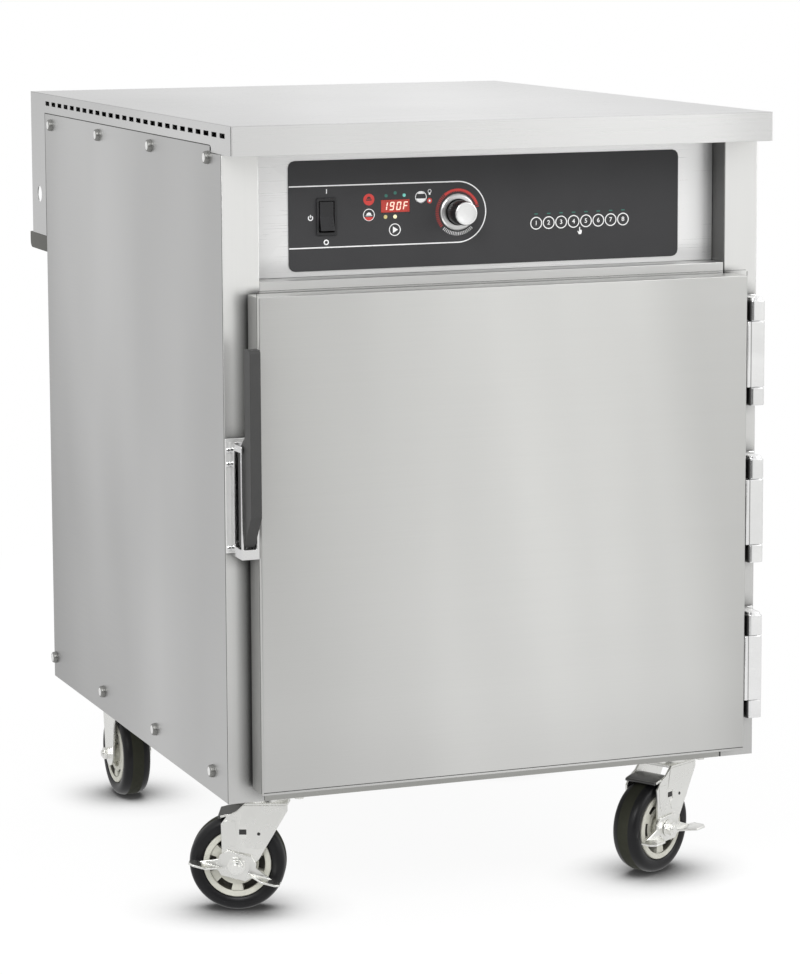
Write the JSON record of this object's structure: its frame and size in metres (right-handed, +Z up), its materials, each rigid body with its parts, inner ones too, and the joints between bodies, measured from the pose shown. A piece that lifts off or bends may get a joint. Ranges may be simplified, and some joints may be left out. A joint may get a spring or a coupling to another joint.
{
  "type": "rethermalization cabinet",
  "caption": "Stainless steel heated holding cabinet with a hinged door, recessed controls, top cover with vent slots, and swivel casters at the front.",
  "frame": {"origin": "on the floor, under the middle of the outer box", "axes": "+Z up, +X to the right of someone facing the door, -Y out of the door"},
  "size_m": [0.8106, 1.043, 1.079],
  "materials": {
    "panel_steel": "satin",
    "trim_steel": "satin",
    "cavity_steel": "satin",
    "bar_steel": "satin",
    "chrome": "polished",
    "zinc_plate": "gloss",
    "spun_aluminium": "polished",
    "overlay_black": "satin",
    "gloss_black": "gloss",
    "handle_black": "satin",
    "display_red": "gloss",
    "tyre_rubber": "satin",
    "core_resin": "satin",
    "gasket_rubber": "matte",
    "insulation": "matte",
    "board_green": "satin",
    "motor_grey": "satin",
    "element_steel": "matte"
  },
  "bodies": {
    "cabinet": {"left_side_panel": "panel_steel", "right_side_panel": "panel_steel", "back_panel": "panel_steel", "base_pan": "panel_steel", "top_cover": "trim_steel", "left_post": "trim_steel", "right_post": "trim_steel", "control_rail": "trim_steel", "control_fascia": "trim_steel", "cavity_liner": "cavity_steel", "left_rack": "cavity_steel", "right_rack": "cavity_steel", "air_baffle": "cavity_steel", "rear_bar": "bar_steel", "latch_strike": "chrome", "lower_hinge_frame_leaf": "chrome", "middle_hinge_frame_leaf": "chrome", "upper_hinge_frame_leaf": "chrome", "front_left_caster_plate": "zinc_plate", "front_right_caster_plate": "zinc_plate", "rear_left_caster_bracket": "zinc_plate", "rear_right_caster_bracket": "zinc_plate", "dial_ring": "spun_aluminium", "control_overlay": "overlay_black", "switch_bezel": "gloss_black", "cord_inlet": "gloss_black", "display_window": "display_red", "control_board": "board_green", "fan_motor": "motor_grey", "heating_element": "element_steel"},
    "door": {"door_skin": "panel_steel", "door_insulation": "insulation", "door_liner": "cavity_steel", "door_gasket": "gasket_rubber", "lower_hinge_door_leaf": "chrome", "middle_hinge_door_leaf": "chrome", "upper_hinge_door_leaf": "chrome", "latch_housing": "chrome"},
    "handle": {"latch_handle": "handle_black"},
    "rocker": {"switch_rocker": "gloss_black"},
    "knob": {"control_knob": "gloss_black", "knob_cap": "spun_aluminium"},
    "fan": {"fan_wheel": "cavity_steel"},
    "lower_shelf": {"lower_shelf": "chrome"},
    "upper_shelf": {"upper_shelf": "chrome"},
    "front_left_swivel": {"front_left_caster_fork": "zinc_plate", "front_left_axle_bolt": "zinc_plate"},
    "front_left_wheel": {"front_left_wheel_core": "core_resin", "front_left_tyre": "tyre_rubber"},
    "front_left_brake": {"front_left_brake_lever": "zinc_plate"},
    "front_right_swivel": {"front_right_caster_fork": "zinc_plate", "front_right_axle_bolt": "zinc_plate"},
    "front_right_wheel": {"front_right_wheel_core": "core_resin", "front_right_tyre": "tyre_rubber"},
    "front_right_brake": {"front_right_brake_lever": "zinc_plate"},
    "rear_left_wheel": {"rear_left_wheel_core": "core_resin", "rear_left_tyre": "tyre_rubber"},
    "rear_right_wheel": {"rear_right_wheel_core": "core_resin", "rear_right_tyre": "tyre_rubber"}
  },
  "joints": [
    {"name": "door_hinge", "type": "hinge", "parent": "cabinet", "child": "door", "pos_m": [0.37905, -0.482, 0.5315], "axis": [0, 0, 1], "range_deg": [0, 180]},
    {"name": "latch_pull", "type": "hinge", "parent": "door", "child": "handle", "pos_m": [-0.3565, -0.48, 0.54], "axis": [1, 0, 0], "range_deg": [0, 20], "stiffness_Nm_per_rad": 0.9},
    {"name": "switch_rock", "type": "hinge", "parent": "cabinet", "child": "rocker", "pos_m": [-0.21915, -0.41, 0.951], "axis": [1, 0, 0], "range_deg": [0, 16]},
    {"name": "knob_turn", "type": "hinge", "parent": "cabinet", "child": "knob", "pos_m": [-0.03135, -0.429, 0.951], "axis": [0, -1, 0], "continuous": true},
    {"name": "fan_spin", "type": "hinge", "parent": "cabinet", "child": "fan", "pos_m": [0.01185, 0.3348, 0.5265], "axis": [0, 1, 0], "continuous": true},
    {"name": "lower_shelf_slide", "type": "slide", "parent": "cabinet", "child": "lower_shelf", "axis": [0, -1, 0], "range_m": [0, 0.055]},
    {"name": "upper_shelf_slide", "type": "slide", "parent": "cabinet", "child": "upper_shelf", "axis": [0, -1, 0], "range_m": [0, 0.055]},
    {"name": "front_left_swivel", "type": "hinge", "parent": "cabinet", "child": "front_left_swivel", "pos_m": [-0.28865, -0.353, 0.1537], "axis": [0, 0, 1], "continuous": true},
    {"name": "front_left_roll", "type": "hinge", "parent": "front_left_swivel", "child": "front_left_wheel", "pos_m": [-0.32731, -0.33659, 0.066], "axis": [0.3907, 0.9205, 0], "continuous": true},
    {"name": "front_left_brake", "type": "hinge", "parent": "front_left_swivel", "child": "front_left_brake", "pos_m": [-0.32731, -0.33659, 0.066], "axis": [0.3907, 0.9205, 0], "range_deg": [-16, 0]},
    {"name": "front_right_swivel", "type": "hinge", "parent": "cabinet", "child": "front_right_swivel", "pos_m": [0.31235, -0.353, 0.1537], "axis": [0, 0, 1], "continuous": true},
    {"name": "front_right_roll", "type": "hinge", "parent": "front_right_swivel", "child": "front_right_wheel", "pos_m": [0.27561, -0.37336, 0.066], "axis": [-0.4848, 0.8746, 0], "continuous": true},
    {"name": "front_right_brake", "type": "hinge", "parent": "front_right_swivel", "child": "front_right_brake", "pos_m": [0.27561, -0.37336, 0.066], "axis": [-0.4848, 0.8746, 0], "range_deg": [0, 16]},
    {"name": "rear_left_roll", "type": "hinge", "parent": "cabinet", "child": "rear_left_wheel", "pos_m": [-0.28865, 0.331, 0.066], "axis": [1, 0, 0], "continuous": true},
    {"name": "rear_right_roll", "type": "hinge", "parent": "cabinet", "child": "rear_right_wheel", "pos_m": [0.31235, 0.331, 0.066], "axis": [1, 0, 0], "continuous": true}
  ]
}
